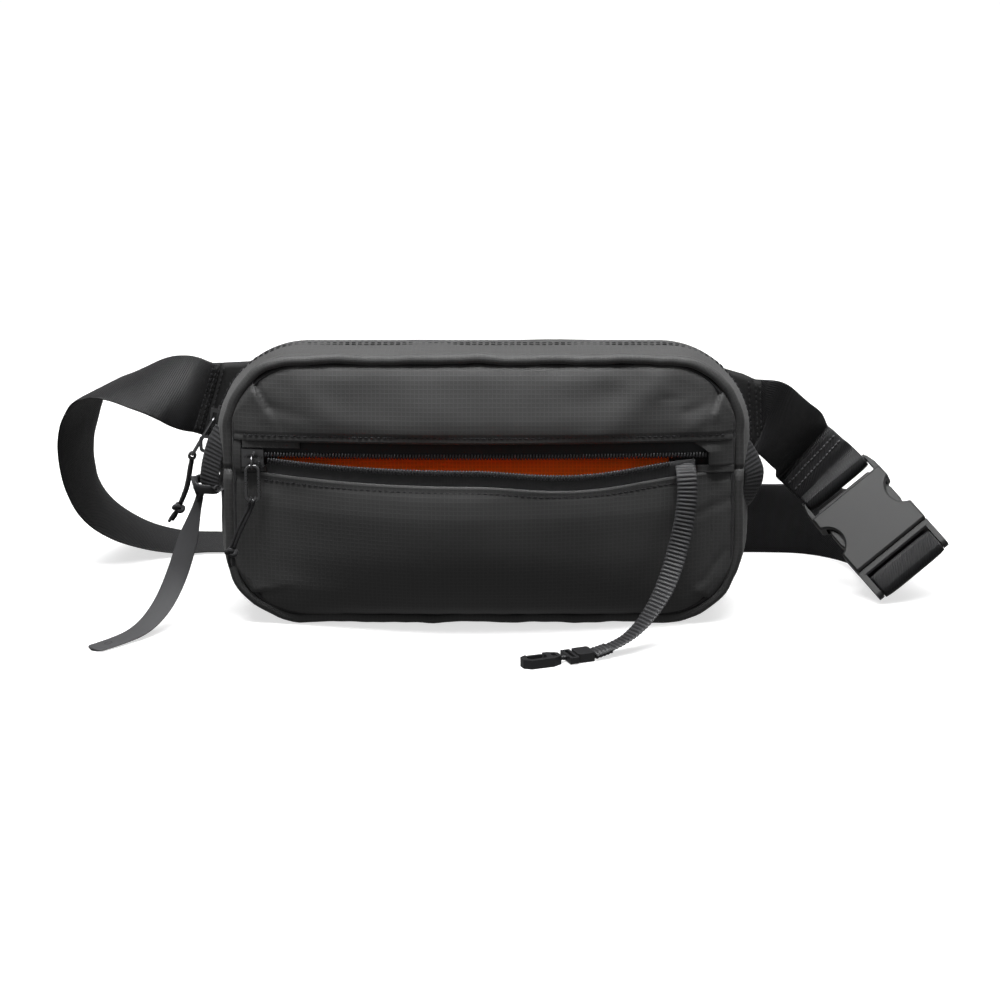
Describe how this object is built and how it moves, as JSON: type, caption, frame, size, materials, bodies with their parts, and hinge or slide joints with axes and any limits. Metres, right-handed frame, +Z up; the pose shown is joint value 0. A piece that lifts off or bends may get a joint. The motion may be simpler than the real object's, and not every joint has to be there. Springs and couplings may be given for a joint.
{
  "type": "sling bag",
  "caption": "Small cross-body sling bag with a domed zip pocket, wide webbing strap, side-release buckle, key leash and cord zip pulls.",
  "frame": {"origin": "middle of the base on the surface that the bag stands on", "axes": "+X to the right when facing the front pocket, +Y towards the wearer's side, +Z up; the front pocket faces -Y"},
  "size_m": [0.4578, 0.2263, 0.1383],
  "materials": {
    "shell_fabric": "charcoal ripstop nylon with a fine grid, slight sheen",
    "mesh_fabric": "black spacer mesh",
    "lining": "bright orange woven nylon",
    "binding": "black woven tape",
    "zip_tape": "black woven zip tape",
    "zip_coil": "black nylon coil",
    "zip_metal": "black nickel, satin",
    "pull_cord": "black braided cord",
    "webbing": "black twill nylon webbing",
    "ribbed_webbing": "black ribbed webbing",
    "grey_strip": "dark grey coated strip, matte",
    "buckle_plastic": "black acetal, satin",
    "hook_black": "black, satin"
  },
  "bodies": {
    "root": {"back_mesh": "mesh_fabric", "back_panel": "shell_fabric", "buckle_male": "buckle_plastic", "divider": "shell_fabric", "front_coil_lower": "zip_coil", "front_coil_upper": "zip_coil", "front_panel_lower": "shell_fabric", "front_panel_upper": "shell_fabric", "front_tape_lower": "zip_tape", "front_tape_upper": "zip_tape", "front_zip_end_left": "shell_fabric", "front_zip_end_right": "shell_fabric", "front_zip_welt": "shell_fabric", "grip_hitch": "grey_strip", "grip_strip": "grey_strip", "gusset_lower": "shell_fabric", "gusset_upper_back": "shell_fabric", "gusset_upper_front": "shell_fabric", "hook_swivel_eye": "hook_black", "leash": "ribbed_webbing", "leash_anchor": "ribbed_webbing", "leash_crimp": "ribbed_webbing", "main_coil_back": "zip_coil", "main_coil_front": "zip_coil", "main_lining": "lining", "main_tape_back": "zip_tape", "main_tape_front": "zip_tape", "main_zip_ends": "shell_fabric", "piping_back": "binding", "piping_front": "binding", "pocket_back_wall": "lining", "pocket_lining": "lining", "side_tab_left": "ribbed_webbing", "side_tab_right": "ribbed_webbing", "strap_long": "webbing", "strap_short": "webbing", "tab_ring": "zip_metal", "wing_left": "shell_fabric", "wing_right": "shell_fabric"},
    "front_slider": {"front_slider": "zip_metal", "front_pull_ring": "zip_metal"},
    "front_puller": {"front_puller": "zip_metal", "front_pull_cord": "pull_cord", "front_pull_knot": "pull_cord"},
    "main_slider": {"main_slider": "zip_metal"},
    "main_puller": {"main_puller": "zip_metal", "main_pull_cord": "pull_cord", "main_pull_knot": "pull_cord"},
    "buckle_female": {"buckle_female": "buckle_plastic", "strap_short_loop": "webbing"},
    "prong_left": {"prong_left": "buckle_plastic"},
    "prong_right": {"prong_right": "buckle_plastic"},
    "hook_body": {"hook_body": "hook_black"},
    "hook_gate": {"hook_gate": "hook_black"}
  },
  "joints": [
    {"name": "front_zip_run", "type": "hinge", "parent": "root", "child": "front_slider", "pos_m": [0, 1.063, 0.087], "axis": [0, 0, 1], "range_deg": [0, 10.3], "deforming": ["front_panel_lower", "pocket_lining", "front_tape_lower", "front_coil_lower"]},
    {"name": "front_pull_swing", "type": "hinge", "parent": "front_slider", "child": "front_puller", "pos_m": [-0.113, -0.03773, 0.08405], "axis": [-1, 0, 0], "range_deg": [-2, 100]},
    {"name": "main_zip_run", "type": "hinge", "parent": "root", "child": "main_slider", "pos_m": [-0.087, 0, 0.0933], "axis": [0, 1, 0], "range_deg": [-1.5, 68]},
    {"name": "main_pull_swing", "type": "hinge", "parent": "main_slider", "child": "main_puller", "pos_m": [-0.13429, 0, 0.09869], "axis": [0, 1, 0], "range_deg": [-14, 110]},
    {"name": "buckle_release", "type": "slide", "parent": "root", "child": "buckle_female", "axis": [-0.5703, 0.6063, 0.5543], "range_m": [0, 0.04], "deforming": ["strap_short"]},
    {"name": "prong_left_press", "type": "hinge", "parent": "root", "child": "prong_left", "pos_m": [0.198, 0.01479, 0.01838], "axis": [0.2719, 0.776, -0.5691], "range_deg": [0, 6], "stiffness_Nm_per_rad": 0.05},
    {"name": "prong_right_press", "type": "hinge", "parent": "root", "child": "prong_right", "pos_m": [0.21831, 0.01934, 0.03429], "axis": [-0.2719, -0.776, 0.5691], "range_deg": [0, 6], "stiffness_Nm_per_rad": 0.05},
    {"name": "hook_swivel", "type": "hinge", "parent": "root", "child": "hook_body", "pos_m": [0.0409, -0.086, 0.0023], "axis": [-0.927, -0.375, 0], "continuous": true},
    {"name": "hook_gate_press", "type": "hinge", "parent": "hook_body", "child": "hook_gate", "pos_m": [0.0275, -0.08727, 0.0023], "axis": [0, 0, 1], "range_deg": [0, 22], "stiffness_Nm_per_rad": 0.004}
  ]
}
